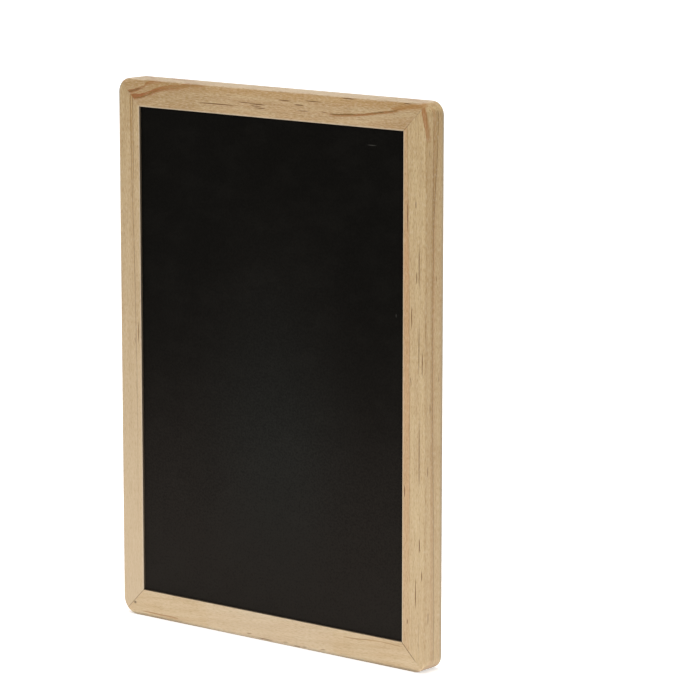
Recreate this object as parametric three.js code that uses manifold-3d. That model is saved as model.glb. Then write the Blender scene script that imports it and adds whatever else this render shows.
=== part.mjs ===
// A small double-sided writing board: a mitred pine frame round a core board
// that carries a black chalk sheet in front and a white dry-wipe sheet behind.
// Millimetres, +Z up, the chalk side faces -Y, and the board stands on z = 0.
import * as THREE from 'three';
import { mergeVertices } from 'three/addons/utils/BufferGeometryUtils.js';
import Module from 'manifold-3d';

// Overall size of the framed board.
const BOARD_WIDTH = 210;
const BOARD_HEIGHT = 297;

// Frame stock, as seen from the front and from the side.
const RAIL_WIDTH = 15;
const RAIL_DEPTH = 15;
const CORNER_RADIUS = 7.5;
const OUTER_ARRIS = 1;
const INNER_BEVEL = 0.4;

// Corner joints: the glue line, and a loose spline hidden in each mitre.
const MITRE_GLUE_LINE = 0.3;
const SPLINE_LENGTH = 10;
const SPLINE_WIDTH = 5;
const SPLINE_THICKNESS = 3;
const SPLINE_FIT = 0.3;

// The ploughed groove round the inside of the frame, which holds the core.
const GROOVE_DEPTH = 5;
const GROOVE_END_GAP = 0.5;
const GROOVE_SIDE_FIT = 0.15;

// The panel: two facing sheets glued to the core, each below the frame's face.
const FACE_RECESS = 1;
const CHALK_SHEET_THICKNESS = 3;
const WHITE_SHEET_THICKNESS = 3;
const SHEET_EDGE_FIT = 0.15;
const GLUE_FILM = 0.1;
const CORE_LEAD_IN = 1;

// Smoothness of the rounded corners and of the rounded arris.
const CORNER_STEPS = 28;
const ARRIS_STEPS = 5;
const SPLINE_END_STEPS = 12;

// Length by which a cutter or blank runs past what it cuts.
const OVERCUT = 2;

const chalkBack = -RAIL_DEPTH / 2 + FACE_RECESS + CHALK_SHEET_THICKNESS;
const whiteBack = RAIL_DEPTH / 2 - FACE_RECESS - WHITE_SHEET_THICKNESS;
const coreFront = chalkBack + GLUE_FILM;
const coreRear = whiteBack - GLUE_FILM;
const openingWidth = BOARD_WIDTH - 2 * RAIL_WIDTH;
const openingHeight = BOARD_HEIGHT - 2 * RAIL_WIDTH;

const wasm = await Module();
wasm.setup();

// Boolean helpers between three.js geometry and solids.
function toSolid(geometry) {
  const bare = geometry.index ? geometry.toNonIndexed() : geometry.clone();
  bare.deleteAttribute('normal');
  bare.deleteAttribute('uv');
  const merged = mergeVertices(bare, 1e-4);
  return new wasm.Manifold(new wasm.Mesh({
    numProp: 3,
    vertProperties: new Float32Array(merged.attributes.position.array),
    triVerts: new Uint32Array(merged.index.array),
  }));
}

function toGeometry(solid) {
  const mesh = solid.getMesh();
  const geometry = new THREE.BufferGeometry();
  geometry.setAttribute('position', new THREE.BufferAttribute(mesh.vertProperties, 3));
  geometry.setIndex(new THREE.BufferAttribute(mesh.triVerts, 1));
  geometry.computeVertexNormals();
  return geometry;
}

// An outline drawn in (x, z) and given a thickness along y, centred on y = 0.
// A rounded or bevelled edge stays inside the outline.
function plate(outline, thickness, { edge = 0, edgeSteps = 1, curveSteps = 1 } = {}) {
  const geometry = new THREE.ExtrudeGeometry(outline, {
    depth: thickness - 2 * edge,
    curveSegments: curveSteps,
    bevelEnabled: edge > 0,
    bevelThickness: edge,
    bevelSize: edge,
    bevelOffset: -edge,
    bevelSegments: edgeSteps,
  });
  geometry.translate(0, 0, edge - thickness / 2);
  return geometry.rotateX(Math.PI / 2);
}

function rectangle(x0, z0, x1, z1) {
  return new THREE.Shape([
    new THREE.Vector2(x0, z0),
    new THREE.Vector2(x1, z0),
    new THREE.Vector2(x1, z1),
    new THREE.Vector2(x0, z1),
  ]);
}

function roundedRectangle(x0, z0, x1, z1, radius) {
  const quarter = Math.PI / 2;
  const outline = new THREE.Shape();
  outline.absarc(x1 - radius, z0 + radius, radius, -quarter, 0, false);
  outline.absarc(x1 - radius, z1 - radius, radius, 0, quarter, false);
  outline.absarc(x0 + radius, z1 - radius, radius, quarter, 2 * quarter, false);
  outline.absarc(x0 + radius, z0 + radius, radius, 2 * quarter, 3 * quarter, false);
  outline.closePath();
  return outline;
}

// A rail is made lying along x, with its outer edge on z = 0 and the opening
// of the frame above it. `length` is its outer length between the frame's
// corners and `reach` the size of the frame across it.

// Planed stock with the groove ploughed along its inner edge.
function groovedStock(length) {
  const half = RAIL_DEPTH / 2;
  const grooveBottom = RAIL_WIDTH - GROOVE_DEPTH;
  const section = new THREE.Shape();
  section.moveTo(-half, 0);
  section.lineTo(half, 0);
  section.lineTo(half, RAIL_WIDTH - INNER_BEVEL);
  section.lineTo(half - INNER_BEVEL, RAIL_WIDTH);
  section.lineTo(coreRear + GROOVE_SIDE_FIT, RAIL_WIDTH);
  section.lineTo(coreRear + GROOVE_SIDE_FIT, grooveBottom);
  section.lineTo(coreFront - GROOVE_SIDE_FIT, grooveBottom);
  section.lineTo(coreFront - GROOVE_SIDE_FIT, RAIL_WIDTH);
  section.lineTo(INNER_BEVEL - half, RAIL_WIDTH);
  section.lineTo(-half, RAIL_WIDTH - INNER_BEVEL);
  section.closePath();
  const stockLength = length + 2 * OVERCUT;
  const stock = new THREE.ExtrudeGeometry(section, { depth: stockLength, bevelEnabled: false });
  stock.translate(0, 0, -stockLength / 2);
  const alongX = new THREE.Matrix4().makeBasis(
    new THREE.Vector3(0, 1, 0),
    new THREE.Vector3(0, 0, 1),
    new THREE.Vector3(1, 0, 0),
  );
  return toSolid(stock.applyMatrix4(alongX));
}

// The part of the stock between its two 45 degree mitre cuts.
function betweenMitres(length) {
  const cutBack = (MITRE_GLUE_LINE / 2) * Math.SQRT2;
  const low = -OVERCUT;
  const high = RAIL_WIDTH + OVERCUT;
  const halfAt = (z) => length / 2 - cutBack - z;
  const outline = new THREE.Shape([
    new THREE.Vector2(-halfAt(low), low),
    new THREE.Vector2(halfAt(low), low),
    new THREE.Vector2(halfAt(high), high),
    new THREE.Vector2(-halfAt(high), high),
  ]);
  return toSolid(plate(outline, RAIL_DEPTH + 2 * OVERCUT));
}

// The glued-up frame's outside, with its corners and arrises rounded.
function frameOutside(length, reach) {
  const outline = roundedRectangle(-length / 2, 0, length / 2, reach, CORNER_RADIUS);
  return toSolid(plate(outline, RAIL_DEPTH, {
    edge: OUTER_ARRIS,
    edgeSteps: ARRIS_STEPS,
    curveSteps: CORNER_STEPS,
  }));
}

// Distance of a spline's centre from both outer edges of its corner: half way
// along the solid part of the mitre, from the rounded corner to the groove.
const cornerTip = CORNER_RADIUS * (1 - Math.SQRT1_2);
const splineInset = (cornerTip + RAIL_WIDTH - GROOVE_DEPTH) / 2;

// A spline with round ends, lying along x and then turned square to its mitre.
function splinePlate(fit) {
  const radius = SPLINE_WIDTH / 2 + fit;
  const straight = (SPLINE_LENGTH - SPLINE_WIDTH) / 2;
  const outline = new THREE.Shape();
  outline.absarc(straight, 0, radius, -Math.PI / 2, Math.PI / 2, false);
  outline.absarc(-straight, 0, radius, Math.PI / 2, 1.5 * Math.PI, false);
  outline.closePath();
  return plate(outline, SPLINE_THICKNESS + 2 * fit, { curveSteps: SPLINE_END_STEPS });
}

// side is 1 at the rail's +x end and -1 at its -x end.
function splineSlot(length, side) {
  const slot = splinePlate(SPLINE_FIT);
  slot.rotateY(side * -Math.PI / 4);
  slot.translate(side * (length / 2 - splineInset), 0, splineInset);
  return toSolid(slot);
}

function mitredRail(length, reach) {
  const rail = groovedStock(length)
    .intersect(betweenMitres(length))
    .intersect(frameOutside(length, reach))
    .subtract(splineSlot(length, 1))
    .subtract(splineSlot(length, -1));
  return toGeometry(rail);
}

const pine = new THREE.MeshStandardMaterial({ color: 0xc3a077, roughness: 0.62, metalness: 0 });
const chalkPaint = new THREE.MeshStandardMaterial({ color: 0x1c1b1a, roughness: 0.9, metalness: 0 });
const whiteLaminate = new THREE.MeshStandardMaterial({ color: 0xeeefef, roughness: 0.2, metalness: 0 });
const fibreboard = new THREE.MeshStandardMaterial({ color: 0x9c7a55, roughness: 0.85, metalness: 0 });
const beechPly = new THREE.MeshStandardMaterial({ color: 0xd2ab7c, roughness: 0.7, metalness: 0 });

const board = new THREE.Group();

function addPiece(name, geometry, material, parent = board) {
  const piece = new THREE.Mesh(geometry, material);
  piece.name = name;
  parent.add(piece);
  return piece;
}

// The four members of the frame, each turned about the board's depth axis so
// that its outer edge faces outwards.
const crossRail = mitredRail(BOARD_WIDTH, BOARD_HEIGHT);
const stile = mitredRail(BOARD_HEIGHT, BOARD_WIDTH);

addPiece('bottom_rail', crossRail, pine);

const topRail = addPiece('top_rail', crossRail, pine);
topRail.position.z = BOARD_HEIGHT;
topRail.rotation.y = Math.PI;

const rightStile = addPiece('right_stile', stile, pine);
rightStile.position.set(BOARD_WIDTH / 2, 0, BOARD_HEIGHT / 2);
rightStile.rotation.y = -Math.PI / 2;

const leftStile = addPiece('left_stile', stile, pine);
leftStile.position.set(-BOARD_WIDTH / 2, 0, BOARD_HEIGHT / 2);
leftStile.rotation.y = Math.PI / 2;

// A loose spline across each mitre.
const splineGeometry = splinePlate(0);
for (const [across, sideX] of [['left', -1], ['right', 1]]) {
  for (const [upright, sideZ] of [['bottom', -1], ['top', 1]]) {
    const spline = addPiece(`corner_spline_${upright}_${across}`, splineGeometry, beechPly);
    spline.position.set(
      sideX * (BOARD_WIDTH / 2 - splineInset),
      0,
      BOARD_HEIGHT / 2 + sideZ * (BOARD_HEIGHT / 2 - splineInset),
    );
    spline.rotation.y = (sideX * sideZ * Math.PI) / 4;
  }
}

// The core board reaches into the groove on all four sides. Its edge is
// bevelled, so that it enters the groove easily.
const tongue = GROOVE_DEPTH - GROOVE_END_GAP;
const core = addPiece(
  'core_board',
  plate(
    rectangle(
      -openingWidth / 2 - tongue,
      -openingHeight / 2 - tongue,
      openingWidth / 2 + tongue,
      openingHeight / 2 + tongue,
    ),
    coreRear - coreFront,
    { edge: CORE_LEAD_IN },
  ),
  fibreboard,
);
core.position.set(0, (coreFront + coreRear) / 2, BOARD_HEIGHT / 2);

// The facing sheets fill the opening on each side, glued to the core.
function facingSheet(thickness) {
  const halfWidth = openingWidth / 2 - SHEET_EDGE_FIT;
  const halfHeight = openingHeight / 2 - SHEET_EDGE_FIT;
  return plate(rectangle(-halfWidth, -halfHeight, halfWidth, halfHeight), thickness);
}

const chalkSheet = addPiece('chalk_sheet', facingSheet(CHALK_SHEET_THICKNESS), chalkPaint);
chalkSheet.position.set(0, chalkBack - CHALK_SHEET_THICKNESS / 2, BOARD_HEIGHT / 2);

const whiteSheet = addPiece('whiteboard_sheet', facingSheet(WHITE_SHEET_THICKNESS), whiteLaminate);
whiteSheet.position.set(0, whiteBack + WHITE_SHEET_THICKNESS / 2, BOARD_HEIGHT / 2);

export default board;
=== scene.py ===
# Looks of a small double-sided writing board: a mitred pine frame round a black
# chalk sheet in front and a white dry-wipe sheet behind.
# Metres, +Z up. The chalk side faces -Y and the board stands on z = 0.
import math
from collections import namedtuple

import bmesh
import bpy
from mathutils import Euler, Matrix, Vector


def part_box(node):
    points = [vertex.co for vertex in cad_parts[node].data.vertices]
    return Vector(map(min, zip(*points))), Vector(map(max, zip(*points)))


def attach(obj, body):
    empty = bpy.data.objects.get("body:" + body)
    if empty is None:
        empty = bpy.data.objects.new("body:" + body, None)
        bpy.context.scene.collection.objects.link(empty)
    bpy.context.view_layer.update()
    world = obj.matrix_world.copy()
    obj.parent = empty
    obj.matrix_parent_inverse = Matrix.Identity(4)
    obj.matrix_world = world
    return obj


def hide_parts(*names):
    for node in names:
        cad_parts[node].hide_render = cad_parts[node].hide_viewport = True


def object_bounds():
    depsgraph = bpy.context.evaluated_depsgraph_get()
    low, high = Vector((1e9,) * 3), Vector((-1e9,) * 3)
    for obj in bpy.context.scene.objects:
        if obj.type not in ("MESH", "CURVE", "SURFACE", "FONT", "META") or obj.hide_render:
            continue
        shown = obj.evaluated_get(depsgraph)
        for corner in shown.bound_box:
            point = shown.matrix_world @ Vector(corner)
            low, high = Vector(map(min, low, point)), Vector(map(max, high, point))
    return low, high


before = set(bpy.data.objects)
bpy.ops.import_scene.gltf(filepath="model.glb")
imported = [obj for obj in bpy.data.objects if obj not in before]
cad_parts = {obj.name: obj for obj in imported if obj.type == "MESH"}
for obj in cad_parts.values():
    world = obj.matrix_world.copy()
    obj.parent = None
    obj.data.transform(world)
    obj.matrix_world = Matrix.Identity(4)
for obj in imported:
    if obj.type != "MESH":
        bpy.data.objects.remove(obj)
cad_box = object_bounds()
MM = 0.001

# The camera stands at the photograph's viewing angle and sees CAMERA_REACH far.
# Its lens is the focal length in pixels of a picture PICTURE_PIXELS wide.
CAMERA_PLACE = Vector((1.20745, -1.44305, 0.49505))
CAMERA_YAW = math.radians(38.746)
CAMERA_DOWN = math.radians(10.154)
CAMERA_ROLL = math.radians(0.034)
CAMERA_REACH = 50
FOCAL_PIXELS = 3604.85
PICTURE_PIXELS = 700
SENSOR_WIDTH = 36

# Sizes of the frame stock, in metres. Those of the boxes come from the CAD.
board_low, board_high = cad_box
bottom_low, bottom_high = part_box("bottom_rail")
core_low, core_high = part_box("core_board")
spline_low, spline_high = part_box("corner_spline_bottom_left")
BOARD_WIDTH = board_high.x - board_low.x
BOARD_HEIGHT = board_high.z - board_low.z
RAIL_WIDTH = bottom_high.z - bottom_low.z
RAIL_DEPTH = board_high.y - board_low.y
OUTER_ARRIS = 1 * MM
INNER_ARRIS = 0.4 * MM
GROOVE_DEPTH = 5 * MM
GROOVE_FIT = 0.3 * MM
GROOVE_WIDTH = core_high.y - core_low.y + GROOVE_FIT
SPLINE_FIT = 0.3 * MM
SPLINE_LENGTH = 10 * MM
SPLINE_WIDTH = 5 * MM
SPLINE_THICKNESS = spline_high.y - spline_low.y
SPLINE_INSET = (spline_low.z + spline_high.z) / 2
JOINT_GAP = 0.02 * MM
JOINT_EASING = 0.03 * MM
SHEET_ARRIS = 0.25 * MM

# How finely the round parts are stepped, and how the meshes are finished. The
# straight part of a rail starts STRAIGHT_START further in than the stock's width.
# A slot's ends are rounded by almost half its width, so that no edge vanishes.
CORNER_STEPS = 14
ARRIS_STEPS = 8
SLOT_STEPS = 10
SHEET_ARRIS_STEPS = 4
STRAIGHT_START = 1 * MM
ALMOST_HALF = 0.499
WELD = 0.002 * MM
SHARP_ANGLE = math.radians(30)

# The corners are rounded by hand after the glue-up, each a little differently.
CORNER_RADII = {
    "top_left": 8 * MM,
    "top_right": 7.2 * MM,
    "bottom_left": 9.5 * MM,
    "bottom_right": 7 * MM,
}


def add_object(name, data):
    """A new object in the scene."""
    made = bpy.data.objects.new(name, data)
    bpy.context.scene.collection.objects.link(made)
    return made


def srgb(red, green, blue):
    """A colour from its sRGB values, 0 to 255, as Blender's linear colour."""
    def linear(value):
        share = value / 255
        return share / 12.92 if share <= 0.04045 else ((share + 0.055) / 1.055) ** 2.4
    return (linear(red), linear(green), linear(blue), 1)


class Wire:
    """An output in a node tree. Arithmetic on it adds Math nodes to the tree."""

    def __init__(self, graph, socket):
        self.graph = graph
        self.socket = socket

    def other(self, name):
        """Another output of the same node."""
        return Wire(self.graph, self.socket.node.outputs[name])

    def __add__(self, other):
        return self.graph.math("ADD", self, other)

    def __sub__(self, other):
        return self.graph.math("SUBTRACT", self, other)

    def __rsub__(self, other):
        return self.graph.math("SUBTRACT", other, self)

    def __mul__(self, other):
        return self.graph.math("MULTIPLY", self, other)

    def __truediv__(self, other):
        return self.graph.math("DIVIDE", self, other)

    def __rtruediv__(self, other):
        return self.graph.math("DIVIDE", other, self)

    def __mod__(self, other):
        return self.graph.math("FLOORED_MODULO", self, other)

    def __lt__(self, other):
        return self.graph.math("LESS_THAN", self, other)

    def __gt__(self, other):
        return self.graph.math("GREATER_THAN", self, other)

    __radd__ = __add__
    __rmul__ = __mul__


class Graph:
    """A shader or geometry node tree that is written as expressions."""

    def __init__(self, tree):
        self.tree = tree

    def node(self, kind, settings=None, inputs=None, output=0):
        """Adds a node: first its settings, then the values or links of its sockets."""
        made = self.tree.nodes.new(kind)
        for name, value in (settings or {}).items():
            if name == "points":
                self._set_points(made.mapping, value)
            elif name == "items":
                self._set_items(made.index_switch_items, value)
            else:
                setattr(made, name, value)
        for key, value in (inputs or {}).items():
            self._feed(self._find(made.inputs, key), value)
        return Wire(self, self._find(made.outputs, output)) if made.outputs else made

    @staticmethod
    def _set_points(mapping, points):
        curve = mapping.curves[0]
        while len(curve.points) < len(points):
            curve.points.new(0.5, 0.5)
        for point, place in zip(curve.points, points):
            point.location = place
        mapping.update()

    @staticmethod
    def _set_items(items, count):
        while len(items) < count:
            items.new()

    @staticmethod
    def _find(sockets, key):
        if isinstance(key, int):
            return sockets[key]
        exact = [s for s in sockets if s.identifier == key]
        return (exact or [s for s in sockets if s.name == key and s.enabled])[0]

    def _feed(self, socket, value):
        for one in value if isinstance(value, list) else [value]:
            if isinstance(one, Wire):
                self.tree.links.new(one.socket, socket)
            else:
                socket.default_value = one

    def feed(self, shader, **values):
        """Links or sets inputs of a shader, named with _ for the spaces in their names."""
        for name, value in values.items():
            self._feed(shader.inputs[name.replace("_", " ")], value)

    def math(self, operation, *values, clamp=False):
        settings = {"operation": operation, "use_clamp": clamp}
        return self.node("ShaderNodeMath", settings, dict(enumerate(values)))

    def smallest(self, first, *others):
        for other in others:
            first = self.math("MINIMUM", first, other)
        return first

    def largest(self, first, *others):
        for other in others:
            first = self.math("MAXIMUM", first, other)
        return first

    def vector_math(self, operation, *values, output=0):
        settings = {"operation": operation}
        return self.node("ShaderNodeVectorMath", settings, dict(enumerate(values)), output)

    def length(self, vector):
        return self.vector_math("LENGTH", vector, output="Value")

    def combine(self, x, y, z):
        return self.node("ShaderNodeCombineXYZ", inputs={0: x, 1: y, 2: z})

    def separate(self, vector):
        first = self.node("ShaderNodeSeparateXYZ", inputs={0: vector})
        return first, first.other("Y"), first.other("Z")

    def fade(self, value, start, end):
        """0 before start, 1 past end, and an even curve between them."""
        inputs = {"Value": value, "From Min": start, "From Max": end}
        return self.node("ShaderNodeMapRange", {"interpolation_type": "SMOOTHSTEP"}, inputs)

    def curve(self, value, points):
        """A smooth curve through given points (place, height), level past its ends."""
        places = [p for p, _ in points]
        heights = [h for _, h in points]
        low = min(heights)
        span = max(heights) - low or 1
        reach = places[-1] - places[0]
        share = self.node("ShaderNodeMapRange", inputs={
            "Value": value, "From Min": places[0], "From Max": places[-1]})
        unit = [((p - places[0]) / reach, (h - low) / span) for p, h in points]
        return self.node("ShaderNodeFloatCurve", {"points": unit}, {"Value": share}) * span + low

    def noise(self, vector, detail=2, roughness=0.5):
        return self.node("ShaderNodeTexNoise", inputs={
            "Vector": vector, "Scale": 1, "Detail": detail, "Roughness": roughness, "Distortion": 0})

    def pattern(self, place, waves, detail, roughness):
        """Noise with so many waves to the millimetre along x, y and z."""
        return self.noise(self.vector_math("MULTIPLY", place, waves), detail, roughness)

    def bump(self, height, strength, distance):
        return self.node("ShaderNodeBump", inputs={
            "Strength": strength, "Distance": distance, "Height": height})

    def blend(self, factor, first, second):
        """The first colour where the factor is 0 and the second where it is 1."""
        return self.node("ShaderNodeMix", {"data_type": "RGBA"}, {
            "Factor_Float": factor, "A_Color": first, "B_Color": second}, "Result_Color")

    def inputs(self, kinds):
        """The group's own inputs, by name, each a wire."""
        for name, kind in kinds.items():
            self.tree.interface.new_socket(name=name, in_out="INPUT", socket_type=kind)
        first = self.node("NodeGroupInput")
        return {name: first.other(name) for name in kinds}


# Camera

def make_camera():
    data = bpy.data.cameras.new("camera")
    data.sensor_width = SENSOR_WIDTH
    data.lens = FOCAL_PIXELS / PICTURE_PIXELS * SENSOR_WIDTH
    data.clip_end = CAMERA_REACH
    camera = add_object("camera", data)
    turn = Euler((math.pi / 2 - CAMERA_DOWN, 0, CAMERA_YAW)).to_matrix()
    roll = Matrix.Rotation(CAMERA_ROLL, 3, "Z")
    camera.matrix_world = Matrix.Translation(CAMERA_PLACE) @ (turn @ roll).to_4x4()
    bpy.context.scene.camera = camera


# Mitred rails. Each is made lying along x with its outer edge on z = 0 and the
# opening of the frame above it, and is then turned to its place.

RAIL_INPUTS = {
    "Length": "NodeSocketFloat",
    "Width": "NodeSocketFloat",
    "Depth": "NodeSocketFloat",
    "Left Radius": "NodeSocketFloat",
    "Right Radius": "NodeSocketFloat",
    "Outer Arris": "NodeSocketFloat",
    "Inner Arris": "NodeSocketFloat",
    "Groove Depth": "NodeSocketFloat",
    "Groove Width": "NodeSocketFloat",
    "Joint Gap": "NodeSocketFloat",
    "Joint Easing": "NodeSocketFloat",
    "Corner Steps": "NodeSocketInt",
    "Arris Steps": "NodeSocketInt",
    "Spline Length": "NodeSocketFloat",
    "Spline Width": "NodeSocketFloat",
    "Spline Thickness": "NodeSocketFloat",
    "Spline Inset": "NodeSocketFloat",
    "Wood": "NodeSocketMaterial",
}


def rail_section(graph, size):
    """The closed section of the stock: x from its outer edge, y through its depth."""
    width = size["Width"]
    half = size["Depth"] / 2
    groove = size["Groove Width"] / 2
    groove_bottom = width - size["Groove Depth"]
    corners = [
        (0, -1 * half, size["Outer Arris"]),
        (width, -1 * half, size["Inner Arris"]),
        (width, -1 * groove, 0),
        (groove_bottom, -1 * groove, 0),
        (groove_bottom, groove, 0),
        (width, groove, 0),
        (width, half, size["Inner Arris"]),
        (0, half, size["Outer Arris"]),
    ]
    index = graph.node("GeometryNodeInputIndex")
    places = {i + 1: graph.combine(x, y, 0) for i, (x, y, _) in enumerate(corners)}
    radii = {i + 1: radius for i, (_, _, radius) in enumerate(corners)}
    place = graph.node("GeometryNodeIndexSwitch", {"data_type": "VECTOR", "items": len(corners)}, {
        "Index": index, **places})
    radius = graph.node("GeometryNodeIndexSwitch", {"data_type": "FLOAT", "items": len(corners)}, {
        "Index": index, **radii})
    line = graph.node("GeometryNodeMeshLine", inputs={"Count": len(corners)})
    curve = graph.node("GeometryNodeMeshToCurve", inputs={"Mesh": line})
    loop = graph.node("GeometryNodeSetSplineCyclic", inputs={"Geometry": curve, "Cyclic": True})
    sharp = graph.node("GeometryNodeSetPosition", inputs={"Geometry": loop, "Position": place})
    return graph.node("GeometryNodeFilletCurve", {"mode": "POLY"}, {
        "Curve": sharp, "Count": size["Arris Steps"], "Radius": radius})


def rail_point(graph, size, section_place, station, side):
    """Where a point of the section lies at a station: it follows the rounded corner
    up to its radius and stays on the mitre past it. Station 0 is the mitre itself,
    station 1 its eased edge, Corner Steps more go round the corner's arc, and the
    last one is on the straight."""
    across, depth, _ = graph.separate(section_place)
    left, right = size["Left Radius"], size["Right Radius"]
    radius = (left + right) / 2 + (right - left) / 2 * side
    centre = size["Width"] / 2
    eased = (station < 0.5) * size["Joint Easing"] / centre
    across = across + (centre - across) * eased
    depth = depth * (1 - eased)
    past_arc = station > size["Corner Steps"] + 1.5
    turned = graph.math("MULTIPLY", 1 - (station - 1) / size["Corner Steps"], 1, clamp=True)
    angle = turned * (math.pi / 4)
    swing = graph.largest(radius - across, 0)
    straight = past_arc * (size["Width"] + STRAIGHT_START - radius)
    inward = graph.largest(radius, across) - swing * graph.math("COSINE", angle)
    from_end = graph.largest(radius - swing * graph.math("SINE", angle) + straight, across)
    cut = (size["Joint Gap"] / 2 + (station > 0.5) * size["Joint Easing"]) * math.sqrt(2)
    from_end = graph.largest(from_end, inward + cut)
    return graph.combine(side * (size["Length"] / 2 - from_end), depth, inward)


def rail_skin(graph, size, section):
    """The section swept from one mitre round to the other, as a closed tube."""
    points = graph.node("GeometryNodeAttributeDomainSize", {"component": "CURVE"}, {
        "Geometry": section})
    row = points + 1
    stations = (size["Corner Steps"] + 3) * 2
    grid = graph.node("GeometryNodeMeshGrid", inputs={"Vertices X": stations, "Vertices Y": row})
    index = graph.node("GeometryNodeInputIndex")
    number = graph.math("FLOOR", index / row)
    from_mitre = graph.smallest(number, stations - 1 - number)
    side = (number > stations / 2 - 0.5) * 2 - 1
    place = graph.node("GeometryNodeInputPosition")
    on_section = graph.node("GeometryNodeSampleIndex", {"data_type": "FLOAT_VECTOR"}, {
        "Geometry": section, "Value": place, "Index": (index % row) % points})
    return graph.node("GeometryNodeSetPosition", inputs={
        "Geometry": grid, "Position": rail_point(graph, size, on_section, from_mitre, side)})


def mitre_face(graph, size, section, side):
    """The flat end of a rail, filled in its mitre plane."""
    face = graph.node("GeometryNodeFillCurve", {"mode": "TRIANGLES"}, {"Curve": section})
    place = graph.node("GeometryNodeInputPosition")
    start = graph.node("FunctionNodeInputInt", {"integer": 0})
    moved = graph.node("GeometryNodeSetPosition", inputs={
        "Geometry": face, "Position": rail_point(graph, size, place, start, side)})
    return graph.node("GeometryNodeFlipFaces", inputs={"Mesh": moved}) if side > 0 else moved


def spline_slot(graph, size, side):
    """The blind slot for a corner's loose spline, square to the mitre."""
    outline = graph.node("GeometryNodeCurvePrimitiveQuadrilateral", inputs={
        "Width": size["Spline Length"], "Height": size["Spline Width"]})
    rounded = graph.node("GeometryNodeFilletCurve", {"mode": "POLY"}, {
        "Curve": outline, "Count": SLOT_STEPS, "Radius": size["Spline Width"] * ALMOST_HALF})
    half = size["Spline Thickness"] / 2
    path = graph.node("GeometryNodeCurvePrimitiveLine", inputs={
        "Start": graph.combine(0, -1 * half, 0), "End": graph.combine(0, half, 0)})
    plate = graph.node("GeometryNodeCurveToMesh", inputs={
        "Curve": path, "Profile Curve": rounded, "Fill Caps": True})
    inset = size["Spline Inset"]
    return graph.node("GeometryNodeTransform", inputs={
        "Geometry": plate,
        "Translation": graph.combine(side * (size["Length"] / 2 - inset), 0, inset),
        "Rotation": (0, -side * math.pi / 4, 0)})


def rail_tree():
    """The node tree of one rail."""
    graph = Graph(bpy.data.node_groups.new("mitred_rail", "GeometryNodeTree"))
    size = graph.inputs(RAIL_INPUTS)
    graph.tree.interface.new_socket(name="Rail", in_out="OUTPUT", socket_type="NodeSocketGeometry")
    section = rail_section(graph, size)
    parts = [rail_skin(graph, size, section)]
    parts += [mitre_face(graph, size, section, side) for side in (-1, 1)]
    joined = graph.node("GeometryNodeJoinGeometry", inputs={"Geometry": parts})
    closed = graph.node("GeometryNodeMergeByDistance", inputs={"Geometry": joined, "Distance": WELD})
    slots = graph.node("GeometryNodeJoinGeometry", inputs={
        "Geometry": [spline_slot(graph, size, side) for side in (-1, 1)]})
    cut = graph.node("GeometryNodeMeshBoolean", {"operation": "DIFFERENCE", "solver": "EXACT"}, {
        "Mesh 1": closed, "Mesh 2": slots})
    smooth = graph.node("GeometryNodeSetShadeSmooth", inputs={
        "Geometry": cut, "Shade Smooth": True})
    solid = graph.node("GeometryNodeRealizeInstances", inputs={"Geometry": smooth})
    finished = graph.node("GeometryNodeSetMaterial", inputs={
        "Geometry": solid, "Material": size["Wood"]})
    graph.node("NodeGroupOutput", inputs={"Rail": finished})
    return graph.tree


def solid_from_tree(name, tree, values):
    """Runs a geometry tree with its named inputs and keeps the result as a plain mesh."""
    carrier = add_object(name + "_tree", bpy.data.meshes.new(name + "_tree"))
    modifier = carrier.modifiers.new("tree", "NODES")
    modifier.node_group = tree
    for item in tree.interface.items_tree:
        if item.item_type == "SOCKET" and item.in_out == "INPUT":
            modifier[item.identifier] = values[item.name]
    bpy.context.view_layer.update()
    evaluated = carrier.evaluated_get(bpy.context.evaluated_depsgraph_get())
    mesh = bpy.data.meshes.new_from_object(evaluated)
    mesh.name = name
    bpy.data.objects.remove(carrier)
    return add_object(name, mesh)


def make_rail(name, tree, length, ends, place, turn, wood):
    """One rail, from its length, the corners at its two ends, its place and its turn."""
    sizes = {
        "Length": length,
        "Width": RAIL_WIDTH,
        "Depth": RAIL_DEPTH,
        "Left Radius": CORNER_RADII[ends[0]],
        "Right Radius": CORNER_RADII[ends[1]],
        "Outer Arris": OUTER_ARRIS,
        "Inner Arris": INNER_ARRIS,
        "Groove Depth": GROOVE_DEPTH,
        "Groove Width": GROOVE_WIDTH,
        "Joint Gap": JOINT_GAP,
        "Joint Easing": JOINT_EASING,
        "Corner Steps": CORNER_STEPS,
        "Arris Steps": ARRIS_STEPS,
        "Spline Length": SPLINE_LENGTH + 2 * SPLINE_FIT,
        "Spline Width": SPLINE_WIDTH + 2 * SPLINE_FIT,
        "Spline Thickness": SPLINE_THICKNESS + 2 * SPLINE_FIT,
        "Spline Inset": SPLINE_INSET,
        "Wood": wood,
    }
    piece = solid_from_tree(name + "_planed", tree, sizes)
    piece.data.transform(Matrix.Translation(place) @ Matrix.Rotation(turn, 4, "Y"))
    piece.data.set_sharp_from_angle(angle=SHARP_ANGLE)
    piece.modifiers.new("flat faces", "WEIGHTED_NORMAL").keep_sharp = True
    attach(piece, "root")
    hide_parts(name)


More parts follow.
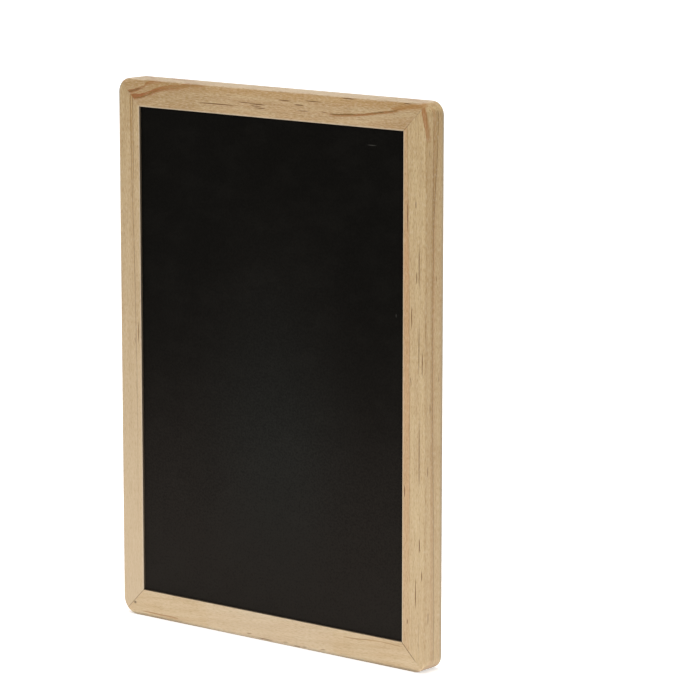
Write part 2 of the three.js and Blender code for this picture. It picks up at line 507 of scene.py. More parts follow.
def make_frame():
    """The four rails, each with its own grain."""
    tree = rail_tree()
    side = BOARD_WIDTH / 2
    middle = BOARD_HEIGHT / 2
    quarter = math.pi / 2
    rails = [
        ("bottom_rail", BOARD_WIDTH, ("bottom_left", "bottom_right"), (0, 0, 0), 0),
        ("top_rail", BOARD_WIDTH, ("top_right", "top_left"), (0, 0, BOARD_HEIGHT), math.pi),
        ("right_stile", BOARD_HEIGHT, ("bottom_right", "top_right"), (side, 0, middle), -quarter),
        ("left_stile", BOARD_HEIGHT, ("top_left", "bottom_left"), (-side, 0, middle), quarter),
    ]
    for name, length, ends, place, turn in rails:
        make_rail(name, tree, length, ends, place, turn, pine(name))


# Pine. The grain is set out in millimetres: along a rail from its left or upper
# end, across it from the frame's outer edge, and deep from the frame's front.

# The frame's sizes in millimetres.
BOARD_WIDE = BOARD_WIDTH / MM
BOARD_HIGH = BOARD_HEIGHT / MM
RAIL_WIDE = RAIL_WIDTH / MM
RAIL_DEEP = RAIL_DEPTH / MM

# A band of dark summer wood. Its sharp border runs through the points of `path`
# (along, across) on the front, moves out by `lean` for each millimetre of depth,
# and the band fades over `width` from there, inwards, or outwards if negative.
# `strength` says how much of it shows (along, share).
Band = namedtuple("Band", "path lean width colour strength")

# A resin duct shows as a short brown dash (first, last, across, deep).
Duct = namedtuple("Duct", "first last across deep", defaults=(0,))

# `flow` is how far the grain has drifted across (along, across), `pith` the place
# (across, deep) that the rings lie round, and `rings` how much they show.
# `edge_tone` is the painted light and shade of the outer edge and `inner_tone` the
# painted highlight of the arris at the opening, each with how strong it is. `foot` is
# how much painted light pales the wood towards the foot of the board, and `fine` how
# strong its finest grain is. `edge_bands` lie on the rail's outer edge: (along, deep)
# in their paths. `knot` is the place (along, across) of a small knot, and `worn`
# how much grey painted shade covers the outer edge behind.
Grain = namedtuple(
    "Grain",
    "pale warm flow pith rings bands ducts edge_tone inner_tone foot fine edge_bands knot worn",
    defaults=((), None, 0))

RED_WOOD = srgb(152, 80, 30)
SALMON_WOOD = srgb(190, 146, 97)
TAWNY_WOOD = srgb(160, 104, 50)
ORANGE_WOOD = srgb(183, 143, 87)
# The brown of the wood's streaks, which also paints shade on some rails.
BROWN_WOOD_AND_SHADE = srgb(146, 110, 53)
LINE_BROWN = srgb(119, 86, 34)
DASH_BROWN = srgb(152, 98, 36)
DUCT_BROWN = srgb(106, 67, 18)
GLUE_BROWN = srgb(100, 72, 32)
KNOT_BROWN = srgb(68, 46, 20)
# Painted shade in the reveal at the opening.
RECESS_SHADE = srgb(44, 30, 12)
# The pale of the wood's specks, which also paints the sheen, the highlights and the light on the
# bottom rail.
PALE_SPECK_AND_PAINTED_LIGHT = srgb(222, 209, 190)
# Painted light that pales the wood towards the foot.
FOOT_PAINTED_LIGHT = srgb(203, 181, 151)
# Grey painted shade.
GREY_SHADE = srgb(134, 124, 108)
# Painted shade under the bottom corners.
UNDERSIDE_SHADE = srgb(134, 110, 82)

# Two lines run down the whole right stile, one on its face and one on its side.
FACE_LINE = [(0, 12.4), (16, 12), (55, 11.2), (100, 10.6), (200, 10), (297, 10)]
SIDE_LINE = [(0, 10.4), (30, 9), (55, 7), (70, 6.4), (150, 6.2), (200, 7.1), (247, 7.9), (297, 7.9)]

GRAINS = {
    "top_rail": Grain(
        pale=srgb(199, 173, 133),
        warm=srgb(185, 151, 108),
        flow=[(0, 12), (20, 8), (43, 2.5), (60, 0), (145, 0), (170, -1.5), (190, -4.5), (210, -8)],
        pith=(46, 30),
        rings=0.12,
        bands=[
            # The two red bands at the left, each with a darker border.
            Band([(5, 7.3), (14, 4.7), (18.5, 3), (21, 1.1), (28, 0), (34, -0.9)],
                 0.5, 2.4, RED_WOOD,
                 [(6, 0), (9, 1.1), (14, 0.9), (18, 0.7), (21, 1.1), (24, 1), (34, 0)]),
            Band([(5, 7.9), (14, 5.2), (18.5, 3.6), (21, 1.6), (28, 0.6)],
                 0.5, 0.8, DUCT_BROWN,
                 [(7, 0), (9, 1.6), (14, 1.6), (17, 0.5), (28, 0)]),
            Band([(10, 8.4), (14, 8.1), (22, 6.1), (32, 2.9), (43, 1.6), (50, 0), (58, -0.7)],
                 0.35, 3.4, RED_WOOD,
                 [(9, 0), (12, 1.4), (17, 1.2), (21, 0.8), (26, 1.1), (33, 1), (43, 0.85), (50, 0.9),
                  (62, 0)]),
            Band([(10, 10.3), (18, 9), (27, 5.4), (37, 3.2), (50, 1), (58, 0.1)],
                 0.35, 0.8, LINE_BROWN,
                 [(12, 0.2), (18, 1.2), (23, 1.2), (28, 0.5), (40, 0.9), (50, 1.1), (61, 0)]),
            # The tawny band at the right, its border, and three short ones at its end.
            Band([(146, 9.3), (160, 8.7), (170, 7.6), (178, 6.3), (188, 4.8), (194, 3), (206, 1)],
                 0.4, 2, TAWNY_WOOD,
                 [(146, 0), (152, 0.8), (185, 0.9), (200, 1), (210, 0.4)]),
            Band([(149, 9.3), (160, 8.8), (170, 7.8), (178, 6.5), (188, 5), (194, 3.2), (206, 1.2)],
                 0.4, 0.8, LINE_BROWN,
                 [(147, 0), (151, 1.2), (160, 1.2), (166, 0.4), (175, 0.6), (180, 1.6), (184, 0.6),
                  (189, 1.6), (194, 0.8), (208, 0.2)]),
            Band([(188, 3), (196, 1.4), (207, 0.2)],
                 0.3, 2.8, TAWNY_WOOD,
                 [(188, 0), (195, 0.8), (207, 0.4)]),
            Band([(187, 3.7), (192, 3.3), (198, 2.2)],
                 0.3, 1, TAWNY_WOOD,
                 [(187, 0), (189, 1), (191.5, 0.5), (193, 1.4), (196, 1.4), (198, 0)]),
            Band([(197, 1.9), (205, 1)],
                 0, 1, TAWNY_WOOD,
                 [(197, 0), (199, 1.5), (203, 1.5), (205, 0)]),
            # A warmer cast along the outer edge, and painted shade over the rail's two ends.
            Band([(0, 0), (210, 0)],
                 0.6, 6, ORANGE_WOOD,
                 [(0, 0.3), (60, 0.5), (150, 0.6), (210, 0.5)]),
            Band([(0, -2), (210, -2)],
                 0, 40, BROWN_WOOD_AND_SHADE,
                 [(0, 0.3), (45, 0.3), (85, 0), (150, 0), (190, 0.15)]),
        ],
        ducts=[
            Duct(56, 83, 9.8), Duct(84, 95, 7.6), Duct(92, 104, 8), Duct(93, 101, 9),
            Duct(96, 104, 9.9), Duct(112, 121, 4.7), Duct(130, 142, 3.9),
            Duct(123, 130, 6.5), Duct(125, 133, 9.3), Duct(155, 164, 0.9), Duct(170, 176, 0, 6),
            Duct(92, 101, 0, 10), Duct(195, 200.5, 0.8),
        ],
        # Painted sheen on the top edge, and a painted highlight on the arris at the opening.
        edge_tone=(PALE_SPECK_AND_PAINTED_LIGHT, 0.5),
        inner_tone=(PALE_SPECK_AND_PAINTED_LIGHT, 0.35),
        foot=0,
        fine=1.1,
    ),
    "bottom_rail": Grain(
        pale=srgb(207, 184, 147),
        warm=srgb(192, 161, 119),
        flow=[(0, 0), (210, 21)],
        pith=(-22, 34),
        rings=0.08,
        bands=[
            # The streaks at the right end.
            Band([(156, 11), (163, 11.2), (178, 12.3), (194, 12.2)],
                 0.6, 1, ORANGE_WOOD,
                 [(156, 0), (168, 1), (180, 0.8), (186, 0.9), (194, 0)]),
            Band([(156, 11.2), (163, 11.4), (178, 12.5), (194, 12.4)],
                 0.6, 0.6, LINE_BROWN,
                 [(156, 0), (168, 0.7), (180, 0.3), (186, 0.6), (194, 0)]),
            # Painted light that pales the middle, and a dash near the left end.
            Band([(60, -2), (150, -2)],
                 0, 40, PALE_SPECK_AND_PAINTED_LIGHT,
                 [(60, 0), (90, 0.22), (125, 0.22), (150, 0)]),
            Band([(14, 2.4), (40, 2.3)],
                 0.4, 0.8, DASH_BROWN,
                 [(14, 0), (17, 1.2), (37, 1.2), (40, 0)]),
        ],
        ducts=[Duct(97, 108, 1.2), Duct(122, 127, 1), Duct(60, 68, 0, 8)],
        # Painted shade on the underside, a faint painted highlight on the arris, and painted light
        # towards the foot.
        edge_tone=(GREY_SHADE, 0.35),
        inner_tone=(PALE_SPECK_AND_PAINTED_LIGHT, 0.1),
        foot=0.3,
        fine=0.85,
        knot=(8.5, 6.9),
    ),
    "right_stile": Grain(
        pale=srgb(203, 178, 133),
        warm=srgb(187, 157, 112),
        flow=[(0, 0), (60, 1), (150, 0.6), (297, 2)],
        pith=(44, -20),
        rings=0.1,
        bands=[
            Band(FACE_LINE, 2.2, 6.5, SALMON_WOOD,
                 [(0, 0.6), (50, 0.7), (100, 1.1), (200, 1.1), (240, 0.7), (297, 0.5)]),
            Band(FACE_LINE, 2.2, 0.6, LINE_BROWN,
                 [(0, 0.5), (100, 0.4), (190, 0.55), (240, 0.2), (297, 0.15)]),
            # The wedge at the top and the short line at the foot.
            Band([(0, 3.9), (3.4, 3.4), (7.4, 2.7), (11.4, 1.7), (16.4, 0.5), (20, 0.1)],
                 -1, -4.6, TAWNY_WOOD,
                 [(0, 0.8), (6, 0.9), (15, 0.8), (20, 0)]),
            Band([(270, 3.6), (297, 3.8)],
                 0, 0.5, LINE_BROWN,
                 [(270, 0), (280, 0.7), (290, 0.6), (297, 0)]),
        ],
        ducts=[
            Duct(50, 54, 6.7), Duct(73, 95, 4.5), Duct(86, 93, 6), Duct(104, 117, 9.2),
            Duct(112, 141, 4.4), Duct(127, 141, 2.2), Duct(104, 128, 0.3), Duct(161, 200, 4),
            Duct(198, 205, 13.4), Duct(225, 233, 3.6), Duct(242, 248, 2), Duct(246, 263, 6),
            Duct(269, 272, 11.3), Duct(50, 67, 12), Duct(155, 160, 0, 3.8), Duct(187, 193, 0, 2),
            Duct(264, 271, 0, 2.9),
        ],
        edge_bands=[
            Band(SIDE_LINE, 0, -3.4, BROWN_WOOD_AND_SHADE,
                 [(0, 0.3), (50, 0.5), (297, 0.4)]),
            Band(SIDE_LINE, 0, -0.7, LINE_BROWN,
                 [(0, 0.8), (30, 1.1), (60, 1.3), (110, 1), (140, 1.4), (297, 1.8)]),
            Band([(8, 6.6), (62, 5.8)],
                 0, -0.7, LINE_BROWN,
                 [(8, 0), (16, 0.9), (58, 0.9), (66, 0)]),
        ],
        # Painted shade on the outer side, a painted highlight on the arris, painted light towards the
        # foot, and grey painted shade on the outer edge behind.
        edge_tone=(BROWN_WOOD_AND_SHADE, 0.28),
        inner_tone=(PALE_SPECK_AND_PAINTED_LIGHT, 0.35),
        foot=0.4,
        fine=1.15,
        worn=0.5,
    ),
    "left_stile": Grain(
        pale=srgb(194, 168, 125),
        warm=srgb(178, 148, 102),
        flow=[(0, 0), (297, 3)],
        pith=(-30, -12),
        rings=0.06,
        bands=[
            # The two lines that start at the top, and the orange wood beside them.
            Band([(0, 7.6), (60, 8.4), (160, 10.3)],
                 -0.5, 3, ORANGE_WOOD,
                 [(0, 0.6), (60, 0.4), (140, 0)]),
            Band([(0, 8.1), (9, 8.3), (50, 8.8), (71, 9.4), (99, 10.2), (128, 10.6), (160, 11.2)],
                 -0.5, 0.7, LINE_BROWN,
                 [(0, 1.2), (60, 1), (110, 1.3), (150, 1.2), (190, 0.8), (230, 0.4), (260, 0)]),
            Band([(0, 10), (50, 10.1), (90, 11)],
                 -0.5, 0.7, LINE_BROWN,
                 [(0, 1), (45, 0.8), (70, 0)]),
            # Painted shade that greys the arris below the corner.
            Band([(2, 2.2), (4, 0.7), (6, -0.2), (9, -0.5), (60, -0.5)],
                 0.8, 1.8, GREY_SHADE,
                 [(2, 0.9), (12, 1.1), (25, 0.5), (60, 0)]),
        ],
        ducts=[Duct(132, 145, 12.9), Duct(180, 190, 0, 7), Duct(60, 69, 0, 9)],
        # Painted shade on the outer side, a painted highlight on the arris, and painted light towards
        # the foot.
        edge_tone=(GREY_SHADE, 0.35),
        inner_tone=(PALE_SPECK_AND_PAINTED_LIGHT, 0.35),
        foot=0.84,
        fine=1.2,
    ),
}

# Sizes of the grain's smaller forms, in millimetres: of ducts and knots, along and
# across the grain. Borders of bands narrower than FRAYED_WIDTH fray less. Bands
# wider than NARROW_BAND are casts, which leave the wood's pale specks as they are.
RING_SPACING = 3.1
RING_WANDER = 2.4
DUCT_RADIUS = 0.28
SCATTERED_DUCT = (13, 1.7)
KNOT_SIZE = (1, 0.8)
FRAYED_WIDTH = 1.6
NARROW_BAND = 5

# Where the painted shade and highlights on the frame start and end, in millimetres:
# the sole's up from the floor, those under the corners in from the board's sides,
# down to the floor and back from the front, and those of the arris and the reveal
# from the opening.
SOLE_FADE = (0.3, 2)
CORNER_FADE = (8, 4)
UNDERSIDE_FADE = (6.5, 1)
FRONT_FADE = (0.3, 1.5)
ARRIS_FADE = (0.5, 1)
REVEAL_FADE = (0.04, 0.3)

# How dark the hairline of a corner joint is, along the mitre (across, strength).
JOINT_LINES = {
    ("top", "left"): [(0, 0.1), (15, 0.1)],
    ("top", "right"): [(0, 0), (3, 0.1), (5, 0.4), (9, 0.1), (12, 0.5), (15, 0.6)],
    ("bottom", "left"): [(0, 0.2), (4, 0.5), (15, 0.6)],
    ("bottom", "right"): [(0, 0), (5, 0), (7, 0.7), (15, 0.8)],
}


def blank_material(name):
    """A material with its node tree's graph, shader and place in millimetres."""
    material = bpy.data.materials.new(name)
    material.use_nodes = True
    material.node_tree.nodes.clear()
    graph = Graph(material.node_tree)
    shader = graph.node("ShaderNodeBsdfPrincipled")
    graph.node("ShaderNodeOutputMaterial", inputs={"Surface": shader})
    place = graph.node("ShaderNodeTexCoord", output="Object")
    return material, graph, shader.socket.node, graph.vector_math("MULTIPLY", place, (1 / MM,) * 3)


class Wood:
    """One rail's surface: its places in millimetres and the patterns of its grain.
    `level` is the place across the grain, which drifts over the rail."""

    def __init__(self, graph, rail, place):
        self.graph = graph
        self.rail = rail
        self.grain = GRAINS[rail]
        self.x, y, self.z = graph.separate(place)
        from_top = BOARD_HIGH - self.z
        self.along, self.across = {
            "top_rail": (self.x + BOARD_WIDE / 2, from_top),
            "bottom_rail": (self.x + BOARD_WIDE / 2, self.z),
            "right_stile": (from_top, BOARD_WIDE / 2 - self.x),
            "left_stile": (from_top, self.x + BOARD_WIDE / 2),
        }[rail]
        self.deep = y + RAIL_DEEP / 2
        self.level = self.across - graph.curve(self.along, self.grain.flow)
        self.wander = self.noise(30, self.level, 6) - 0.5
        self.broad = self.noise(80, self.level, 3.2)
        self.streaks = self.noise(26, self.level, 0.8, 3)
        self.threads = self.noise(11, self.across, 0.45)
        self.specks = self.noise(2.4, self.across, 0.55, 2, 0.6)
        self.fibres = self.noise(5, self.across, 0.2, 3)
        self.patches = self.noise(22, self.across, 9)
        self.flecks = graph.fade(self.streaks * 0.4 + self.threads * 0.6, 0.34, 0.54) * 0.45 + 0.6
        self.fray = self.wander * 0.7 + (self.threads - 0.5) * 1.3
        self.edge = 1 - graph.fade(self.across, 0.1, 0.9)

    def noise(self, length, beside, thickness, detail=2, roughness=0.5):
        """Noise in spots of that length along the grain and that thickness across it."""
        place = self.graph.combine(self.along / length, beside / thickness, self.deep / thickness)
        return self.graph.noise(place, detail, roughness)


def growth_rings(wood):
    """Faint rings round a pith that lies outside the rail: 0 pale, 1 summer wood."""
    graph = wood.graph
    beside = wood.level - wood.grain.pith[0]
    behind = wood.deep - wood.grain.pith[1]
    radius = graph.math("SQRT", beside * beside + behind * behind)
    share = (radius + wood.wander * RING_WANDER) / RING_SPACING % 1
    return graph.fade(share, 0.35, 0.85) * (1 - graph.fade(share, 0.9, 1))


def wood_tone(wood, rings):
    """The colour of the wood between its bands: warm and pale stretches and streaks."""
    graph, grain = wood.graph, wood.grain
    warmth = graph.fade(wood.broad * 0.6 + wood.patches * 0.4, 0.32, 0.68)
    tone = graph.blend(warmth, grain.pale, grain.warm)
    tone = graph.blend(rings * grain.rings, tone, BROWN_WOOD_AND_SHADE)
    tone = graph.blend(graph.fade(wood.streaks, 0.5, 0.72) * 0.14, tone, BROWN_WOOD_AND_SHADE)
    return graph.blend(graph.fade(wood.streaks, 0.5, 0.3) * 0.18, tone, grain.pale)


def band_mask(wood, band, across, deep):
    """How much of a band's colour shows: a sharp border on one side, a fade on the other."""
    graph = wood.graph
    width = abs(band.width)
    frayed = wood.fray * min(1, width / FRAYED_WIDTH)
    inside = across + band.lean * deep - graph.curve(wood.along, band.path) + frayed
    if band.width < 0:
        inside = inside * -1
    body = graph.fade(inside, -0.12, 0.2) * (1 - graph.fade(inside, width * 0.45, width))
    shown = body * graph.curve(wood.along, band.strength) * wood.flecks
    return graph.math("MULTIPLY", shown, 1, clamp=True)


def lay_bands(wood, tone):
    """The bands over the wood, and how much of it the narrower ones cover."""
    graph, grain = wood.graph, wood.grain
    covered = 0
    for band in grain.bands:
        mask = band_mask(wood, band, wood.across, wood.deep)
        tone = graph.blend(mask, tone, band.colour)
        if abs(band.width) < NARROW_BAND:
            covered = graph.largest(covered, mask)
    edge_colour, edge_strength = grain.edge_tone
    tone = graph.blend(wood.edge * edge_strength, tone, edge_colour)
    for band in grain.edge_bands:
        mask = band_mask(wood, band, wood.deep, 0)
        tone = graph.blend(mask * wood.edge, tone, band.colour)
    return tone, covered


def lay_fine_grain(wood, tone, covered):
    """Painted light that pales the wood towards the foot, and the threads and specks, weaker where it
    is pale.
    """
    graph, grain = wood.graph, wood.grain
    foot_light = graph.math("POWER", 1 - wood.z / BOARD_HIGH, 0.8) * grain.foot
    tone = graph.blend(foot_light, tone, FOOT_PAINTED_LIGHT)
    fine = grain.fine - foot_light
    tone = graph.blend(graph.fade(wood.threads, 0.48, 0.7) * fine * 0.32, tone, BROWN_WOOD_AND_SHADE)
    tone = graph.blend(graph.fade(wood.specks, 0.5, 0.72) * fine * 0.5, tone, BROWN_WOOD_AND_SHADE)
    pale_specks = graph.fade(wood.specks, 0.5, 0.3) * fine * (1 - covered * 0.6)
    return graph.blend(pale_specks * 0.24, tone, PALE_SPECK_AND_PAINTED_LIGHT)


def placed_ducts(wood):
    """The resin ducts that open on the surface, as short dashes along the grain."""
    graph = wood.graph
    shaken = wood.across + (wood.threads - 0.5) * 0.3
    place = graph.combine(wood.along, shaken, wood.deep)
    distances = []
    for duct in wood.grain.ducts:
        half = (duct.last - duct.first) / 2
        scale = (1 / half, 1 / DUCT_RADIUS, 1 / DUCT_RADIUS)
        middle = ((duct.first + duct.last) / 2, duct.across, duct.deep)
        offset = tuple(-m * s for m, s in zip(middle, scale))
        distances.append(graph.length(graph.vector_math("MULTIPLY_ADD", place, scale, offset)))
    return 1 - graph.fade(graph.smallest(*distances), 0.55, 1.15)


def scattered_ducts(wood):
    """More ducts, thinly spread through the wood."""
    graph = wood.graph
    length, thickness = SCATTERED_DUCT
    place = graph.combine(wood.along / length, wood.level / thickness, wood.deep / thickness)
    cell = graph.node("ShaderNodeTexVoronoi", inputs={"Vector": place, "Scale": 1})
    chosen = graph.separate(cell.other("Color"))[0] > 0.93
    return chosen * (1 - graph.fade(cell, 0.06, 0.2))


def lay_knot(wood, tone):
    """The small dark knot of a rail that has one."""
    if not wood.grain.knot:
        return tone
    graph = wood.graph
    along, across = wood.grain.knot
    length, thickness = KNOT_SIZE
    offset = graph.combine(
        (wood.along - along) / length, (wood.across - across) / thickness, wood.deep / thickness)
    ragged = graph.length(offset) + (wood.specks - 0.5) * 0.6
    return graph.blend((1 - graph.fade(ragged, 0.6, 1.2)) * 0.65, tone, KNOT_BROWN)


def lay_painted_light(wood, tone):
    """Painted shade and highlights: painted shade along the sole and under the bottom
    corners, a painted highlight on the arris and painted shade in the reveal at the
    opening, and grey painted shade on the outer edge behind."""
    graph, grain = wood.graph, wood.grain
    # Painted shade along the sole, where the board stands on the floor.
    sole = 1 - graph.fade(wood.z, *SOLE_FADE)
    tone = graph.blend(sole * 0.5, tone, GREY_SHADE)
    # Painted shade under the bottom corners.
    from_side = BOARD_WIDE / 2 - graph.math("ABSOLUTE", wood.x)
    lower_corner = graph.fade(from_side, *CORNER_FADE) * graph.fade(wood.z, *UNDERSIDE_FADE)
    under_corner = lower_corner * graph.fade(wood.deep, *FRONT_FADE)
    tone = graph.blend(under_corner * 0.8, tone, UNDERSIDE_SHADE)
    # A painted highlight on the arris at the opening.
    from_opening = RAIL_WIDE - wood.across
    inner_colour, inner_strength = grain.inner_tone
    arris = 1 - graph.fade(from_opening, *ARRIS_FADE)
    tone = graph.blend(arris * inner_strength, tone, inner_colour)
    # Painted shade in the reveal at the opening.
    reveal = 1 - graph.fade(from_opening, *REVEAL_FADE)
    in_front = graph.fade(wood.deep, RAIL_DEEP / 2 + 1, RAIL_DEEP / 2 - 1)
    tone = graph.blend(reveal * (in_front * 0.7 + 0.15), tone, RECESS_SHADE)
    # Grey painted shade on the outer edge behind.
    if grain.worn:
        behind = graph.fade(wood.deep, RAIL_DEEP - 3, RAIL_DEEP - 1)
        tone = graph.blend(behind * wood.edge * grain.worn, tone, GREY_SHADE)
    return tone


def joint_mask(wood):
    """The hairlines where this rail meets its neighbours, darkened by glue."""
    graph = wood.graph
    edge, kind = wood.rail.split("_")
    if kind == "rail":
        length, corners = BOARD_WIDE, [(edge, "left"), (edge, "right")]
    else:
        length, corners = BOARD_HIGH, [("top", edge), ("bottom", edge)]
    from_ends = [wood.along - wood.across, length - wood.along - wood.across]
    lines = [
        (1 - graph.fade(from_end, 0.16, 0.42)) * graph.curve(wood.across, JOINT_LINES[corner])
        for from_end, corner in zip(from_ends, corners)
    ]
    broken = 0.6 + wood.threads * 0.7
    return graph.math("MULTIPLY", graph.largest(*lines) * broken, 1, clamp=True)


def pine(rail):
    """Planed pine, unvarnished, with the grain of one rail and its painted light and shade."""
    material, graph, shader, place = blank_material("pine_" + rail)
    wood = Wood(graph, rail, place)
    rings = growth_rings(wood)
    tone, covered = lay_bands(wood, wood_tone(wood, rings))
    tone = lay_fine_grain(wood, tone, covered)
    all_ducts = (placed_ducts(wood) + scattered_ducts(wood) * 0.7) * wood.flecks
    open_ducts = graph.math("MULTIPLY", all_ducts, 1.15, clamp=True)
    tone = graph.blend(open_ducts, tone, DUCT_BROWN)
    tone = lay_painted_light(wood, lay_knot(wood, tone))
    tone = graph.blend(joint_mask(wood), tone, GLUE_BROWN)
    height = wood.fibres * 0.5 + wood.streaks * 0.3 - open_ducts * 0.8 + wood.patches * 0.1
    graph.feed(
        shader,
        Base_Color=tone,
        Roughness=0.58 + wood.fibres * 0.14 - rings * 0.05,
        Normal=graph.bump(height, 0.35, 0.06 * MM),
        Specular_IOR_Level=0.35)
    return material


# Chalk side

# A round mark on the sheet, in millimetres from the middle of the board's foot.
Spot = namedtuple("Spot", "x z half_width half_height")

# Where the black sheet has a soft painted highlight, its scuff and its speck of chalk.
SHEEN_SPOT = Spot(3, 135, 62, 115)
SCUFF = Spot(69, 273.1, 3.2, 0.3)
SPECK = Spot(85, 186.4, 0.5, 1.2)

# How much painted reflection of the floor brightens the black sheet, by height in millimetres.
FLOOR_REFLECTION = [(15, 1), (51, 0.96), (77, 0.78), (104, 0.59), (131, 0.35), (158, 0.17), (211, 0.03), (282, 0)]

CHALK_BLACK = srgb(4, 3, 1)
REFLECTION_BROWN = srgb(32, 28, 24)
REFLECTION_GREY = srgb(31, 31, 28)
ROLLED_GREY = srgb(44, 42, 37)
CHALK_GREY = srgb(96, 94, 88)


def from_spot(graph, spot, x, z):
    """0 in the middle of a spot on the sheet, 1 on its rim."""
    return graph.length(graph.combine(
        (x - spot.x) / spot.half_width, 0, (z - spot.z) / spot.half_height))


def chalk_paint():
    """Matt black chalk paint, rolled on, with a scuff and a speck of chalk, and painted light: a
    painted reflection of the floor, brighter towards the bottom, and a soft painted highlight.
    """
    material, graph, shader, place = blank_material("chalk_paint")
    x, _, z = graph.separate(place)
    stipple = graph.pattern(place, (0.9, 0.9, 0.9), 3, 0.6)
    cloudy = graph.pattern(place, (0.03, 0.03, 0.025), 3, 0.55)
    wiped = graph.pattern(place, (0.05, 0.05, 0.08), 3, 0.6)
    grainy = graph.fade(stipple, 0.3, 0.7)
    # Painted light: a soft painted highlight, and a painted reflection of the floor that grows
    # towards the bottom.
    in_sheen_spot = 1 - graph.fade(from_spot(graph, SHEEN_SPOT, x, z), 0.1, 1.15)
    haze = (graph.curve(z, FLOOR_REFLECTION) + in_sheen_spot * 0.27) * (0.86 + cloudy * 0.28)
    reflection_tint = graph.blend(in_sheen_spot, REFLECTION_BROWN, REFLECTION_GREY)
    tone = graph.blend(haze * (0.68 + grainy * 0.64), CHALK_BLACK, reflection_tint)
    tone = graph.blend(grainy * 0.11 + graph.fade(wiped, 0.45, 0.7) * 0.06, tone, ROLLED_GREY)
    scuff = 1 - graph.fade(from_spot(graph, SCUFF, x, z) + stipple * 0.6, 0.6, 1.5)
    speck = 1 - graph.fade(from_spot(graph, SPECK, x, z) + stipple, 0.8, 1.6)
    tone = graph.blend(scuff * 0.34 + speck * 0.25, tone, CHALK_GREY)
    graph.feed(
        shader,
        Base_Color=tone,
        Roughness=0.62 + stipple * 0.2 - cloudy * 0.1,
        Normal=graph.bump(stipple, 0.4, 0.08 * MM),
        Specular_IOR_Level=0.04)
    return material


# White side

LAMINATE_WHITE = srgb(229, 230, 231)
LAMINATE_HAZE = srgb(219, 222, 225)


def white_laminate():
    """Glossy white dry-wipe laminate, wiped clean but for a faint haze."""
    material, graph, shader, place = blank_material("white_laminate")
    haze = graph.pattern(place, (0.03, 0.03, 0.012), 3, 0.55)
    wiped = graph.pattern(place, (0.02, 0.1, 0.35), 3, 0.6)
    peel = graph.pattern(place, (0.25, 0.25, 0.25), 2, 0.5)
    hazy = graph.fade(haze * 0.6 + wiped * 0.4, 0.4, 0.66)
    graph.feed(
        shader,
        Base_Color=graph.blend(hazy * 0.7, LAMINATE_WHITE, LAMINATE_HAZE),
        Roughness=0.1 + wiped * 0.12 + haze * 0.05,
        Normal=graph.bump(peel, 0.15, 0.05 * MM),
        Coat_Weight=0.4,
        Coat_Roughness=0.08)
    return material


# Core board and splines

FELT_BROWN = srgb(140, 106, 72)
FELT_TAN = srgb(178, 142, 102)
BEECH_PALE = srgb(220, 186, 146)
BEECH_FLECK = srgb(190, 150, 108)
VENEER_GLUE = srgb(120, 86, 56)


def fibreboard():
    """Brown fibreboard: fine felted fibres."""
    material, graph, shader, place = blank_material("fibreboard")
    felt = graph.pattern(place, (1.4, 3, 1.4), 4, 0.65)
    clumps = graph.pattern(place, (0.2, 0.5, 0.2), 2, 0.5)
    mottled = graph.fade(felt * 0.7 + clumps * 0.3, 0.35, 0.66)
    graph.feed(
        shader,
        Base_Color=graph.blend(mottled, FELT_BROWN, FELT_TAN),
        Roughness=0.82 + felt * 0.1,
        Normal=graph.bump(felt, 0.5, 0.1 * MM))
    return material


def beech_ply():
    """Beech plywood: three veneers, with short flecks in each."""
    material, graph, shader, place = blank_material("beech_ply")
    _, y, _ = graph.separate(place)
    flecks = graph.pattern(place, (1.8, 1.8, 0.35), 3, 0.6)
    veneers = graph.fade(graph.math("ABSOLUTE", (y + 0.5) % 1 - 0.5), 0.06, 0.02)
    tone = graph.blend(graph.fade(flecks, 0.4, 0.66), BEECH_PALE, BEECH_FLECK)
    graph.feed(
        shader,
        Base_Color=graph.blend(veneers * 0.7, tone, VENEER_GLUE),
        Roughness=0.6 + flecks * 0.15,
        Normal=graph.bump(flecks, 0.3, 0.05 * MM))
    return material


# Pieces that aren't rails

def facing_sheet(name, node, material):
    """A facing sheet with eased edges, in the place of its CAD node."""
    low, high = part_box(node)
    middle = Matrix.Translation((low + high) / 2)
    shape = bmesh.new()
    bmesh.ops.create_cube(shape, size=1, matrix=middle @ Matrix.Diagonal((*(high - low), 1)))
    bmesh.ops.bevel(
        shape, geom=shape.edges, offset=SHEET_ARRIS, segments=SHEET_ARRIS_STEPS, profile=0.5,
        affect="EDGES")
    mesh = bpy.data.meshes.new(name)
    shape.to_mesh(mesh)
    shape.free()
    mesh.shade_smooth()
    mesh.materials.append(material)
    sheet = add_object(name, mesh)
    sheet.modifiers.new("flat faces", "WEIGHTED_NORMAL")
    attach(sheet, "root")
    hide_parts(node)


def finish_node(name, material):
    """A CAD node that keeps its own shape and gets its finish."""
    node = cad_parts[name]
    node.data.materials.clear()
    node.data.materials.append(material)


# Studio

FLOOR_REACH = 150
PAPER_GREY = srgb(222, 222, 222)
PAPER_PALE = srgb(228, 228, 228)
WHITE = (1, 1, 1, 1)

# How bright the studio's surroundings are by their height, from level (0) to
# straight overhead (1): a white strip at the horizon under a soft canopy.
CANOPY = [(0, 1.1), (0.1, 1), (0.2, 0.05), (0.6, 0.05), (0.85, 1.3), (1, 5.4)]


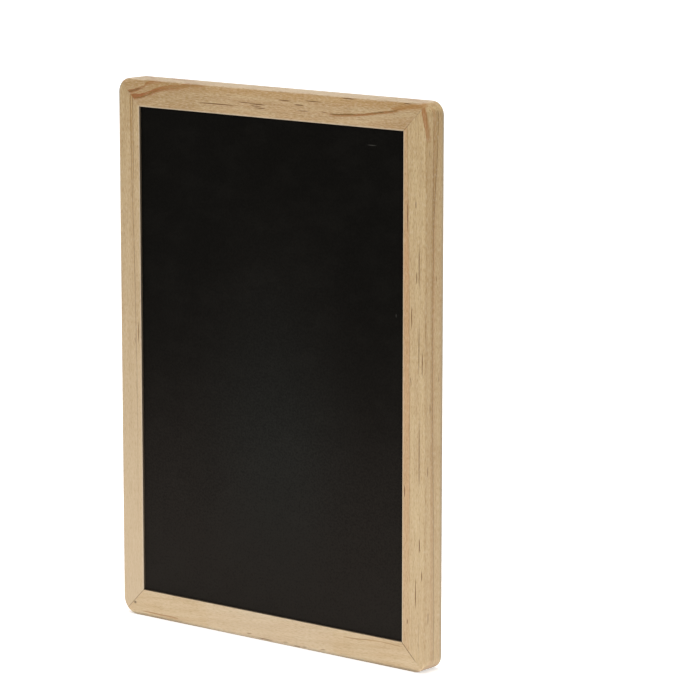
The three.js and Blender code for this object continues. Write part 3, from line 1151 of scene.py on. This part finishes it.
def studio_floor():
    """A sheet of white paper that reaches the horizon and glows a little."""
    mesh = bpy.data.meshes.new("studio_floor")
    signs = [(-1, -1), (1, -1), (1, 1), (-1, 1)]
    corners = [(x * FLOOR_REACH, y * FLOOR_REACH, 0) for x, y in signs]
    mesh.from_pydata(corners, [], [(0, 1, 2, 3)])
    floor = add_object("studio_floor", mesh)
    material, graph, shader, place = blank_material("floor_paper")
    soft = graph.pattern(place, (0.004, 0.004, 0.004), 2, 0.5)
    graph.feed(
        shader,
        Base_Color=graph.blend(soft, PAPER_GREY, PAPER_PALE),
        Roughness=0.9,
        Specular_IOR_Level=0.1,
        Emission_Color=WHITE,
        Emission_Strength=0.6)
    material.cycles.emission_sampling = "NONE"
    mesh.materials.append(material)


def soft_light(name, place, aim, width, power):
    data = bpy.data.lights.new(name, "AREA")
    data.size = width
    data.energy = power
    lamp = add_object(name, data)
    lamp.location = place
    lamp.rotation_euler = (Vector(aim) - Vector(place)).to_track_quat("-Z", "Y").to_euler()
    return lamp


def studio_light():
    """A canopy all round, a weak lamp overhead and a glow from the floor."""
    world = bpy.data.worlds.new("studio")
    bpy.context.scene.world = world
    world.use_nodes = True
    world.node_tree.nodes.clear()
    graph = Graph(world.node_tree)
    direction = graph.node("ShaderNodeTexCoord", output="Generated")
    height = graph.separate(direction)[2]
    surroundings = graph.node("ShaderNodeBackground", inputs={
        "Color": WHITE, "Strength": graph.curve(height, CANOPY)})
    graph.node("ShaderNodeOutputWorld", inputs={"Surface": surroundings})
    soft_light("overhead", place=(0, 0, 1.5), aim=(0, 0, 0), width=0.3, power=5)
    glow = soft_light("floor_glow", place=(0, 0, 0.5 * MM), aim=(0, 0, 1), width=0.8, power=1.2)
    glow.visible_camera = False
    bpy.context.scene.view_settings.view_transform = "Standard"


make_camera()
make_frame()
facing_sheet("chalk_side", "chalk_sheet", chalk_paint())
facing_sheet("white_side", "whiteboard_sheet", white_laminate())
finish_node("core_board", fibreboard())
ply = beech_ply()
for corner in CORNER_RADII:
    finish_node("corner_spline_" + corner, ply)
studio_floor()
studio_light()
